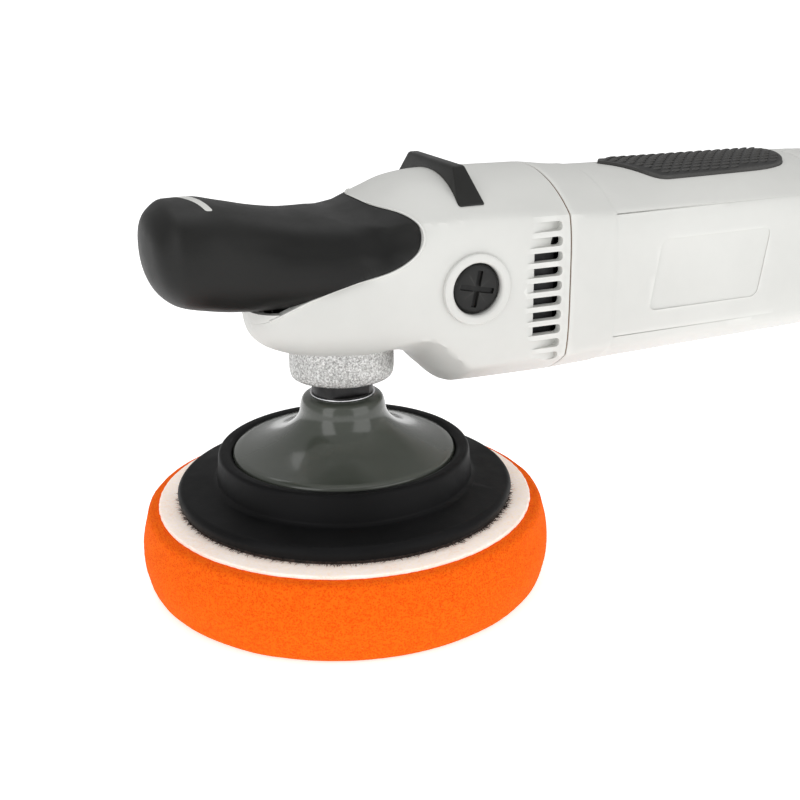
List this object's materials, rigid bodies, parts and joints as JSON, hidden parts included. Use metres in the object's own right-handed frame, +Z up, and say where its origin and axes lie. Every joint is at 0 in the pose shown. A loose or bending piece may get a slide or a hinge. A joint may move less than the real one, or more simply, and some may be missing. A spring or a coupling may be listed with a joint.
{
  "type": "rotary polisher",
  "caption": "Corded rotary polisher: foam pad on a hook plate, geared spindle head with palm hood, motor housing and rear trigger handle.",
  "frame": {"origin": "centre of the pad's working face, on the spindle axis", "axes": "+Z up the spindle towards the gear head, +X along the motor to the rear handle, +Y the tool's right side"},
  "size_m": [0.462, 0.15, 0.1489],
  "materials": {
    "foam": "open-cell foam, matt",
    "velour": "brushed loop pile",
    "hook": "hook pile",
    "rubber": "matt moulded rubber",
    "soft_touch": "soft-touch moulding",
    "hub_plastic": "polished grey-green plastic",
    "casing": "fine satin moulding",
    "black_plastic": "satin moulding",
    "steel": "ground",
    "cast": "bead blasted",
    "laminate": "stacked laminations",
    "copper": "enamelled copper",
    "bronze": "sintered",
    "carbon": "pressed carbon",
    "board": "circuit board"
  },
  "bodies": {
    "casing": {"spindle_collar": "cast", "spindle_seal": "rubber", "spindle_bearing_outer": "steel", "gear_case": "cast", "upper_bush": "bronze", "palm_hood": "soft_touch", "head_cover": "casing", "handle_plug_left": "black_plastic", "handle_plug_right": "black_plastic", "rest_bumper": "black_plastic", "intermediate_bearing": "steel", "intermediate_bush": "bronze", "bearing_plate": "cast", "housing_screw_1": "steel", "housing_screw_2": "steel", "housing_screw_3": "steel", "housing_screw_4": "steel", "front_bearing": "steel", "rear_bearing": "steel", "air_baffle": "black_plastic", "stator_core": "laminate", "field_coil_upper": "copper", "field_coil_lower": "copper", "brush_holder_left": "bronze", "brush_holder_right": "bronze", "carbon_brush_left": "carbon", "carbon_brush_right": "carbon", "motor_housing": "casing", "top_grip": "rubber", "handle_shell_left": "casing", "handle_shell_right": "casing", "handle_screw_1": "steel", "handle_screw_2": "steel", "handle_screw_3": "steel", "rear_grip": "rubber", "trigger_pin": "steel", "switch_body": "black_plastic", "speed_control_board": "board", "cord_inlet": "rubber"},
    "spindle_group": {"foam_pad": "foam", "pad_loop_backing": "velour", "hook_face": "hook", "backing_plate": "rubber", "plate_hub": "hub_plastic", "hub_insert": "steel", "spindle": "steel", "spindle_bearing_inner": "steel", "crown_gear": "steel", "gear_retaining_ring": "steel"},
    "intermediate_group": {"pinion_shaft": "steel", "intermediate_gear": "steel"},
    "armature_group": {"armature_shaft": "steel", "armature_core": "laminate", "armature_winding_front": "copper", "armature_winding_rear": "copper", "commutator": "copper", "cooling_fan": "black_plastic"},
    "trigger": {"trigger": "black_plastic"},
    "lock_button": {"lock_button": "black_plastic"},
    "speed_dial": {"speed_dial": "black_plastic"}
  },
  "joints": [
    {"name": "spindle_spin", "type": "hinge", "parent": "casing", "child": "spindle_group", "pos_m": [0, 0, 0.1], "axis": [0, 0, 1], "continuous": true},
    {"name": "intermediate_spin", "type": "hinge", "parent": "casing", "child": "intermediate_group", "pos_m": [0.04, 0, 0.122], "axis": [1, 0, 0], "continuous": true},
    {"name": "armature_spin", "type": "hinge", "parent": "casing", "child": "armature_group", "pos_m": [0.12, 0, 0.108], "axis": [1, 0, 0], "continuous": true},
    {"name": "trigger_pull", "type": "hinge", "parent": "casing", "child": "trigger", "pos_m": [0.25, 0, 0.0935], "axis": [0, -1, 0], "range_deg": [0, 6], "stiffness_Nm_per_rad": 0.6, "springref_deg": -8.59},
    {"name": "lock_button_press", "type": "slide", "parent": "casing", "child": "lock_button", "axis": [0, 1, 0], "range_m": [0, 0.002], "stiffness_N_per_m": 400, "springref_m": -0.002},
    {"name": "speed_dial_turn", "type": "hinge", "parent": "casing", "child": "speed_dial", "pos_m": [0.232, 0, 0.122], "axis": [0, 1, 0], "range_deg": [0, 270]}
  ],
  "couplings": [
    {"joint": "intermediate_spin", "follows": "spindle_spin", "ratio": 2.8182},
    {"joint": "armature_spin", "follows": "spindle_spin", "ratio": -9.5114}
  ]
}
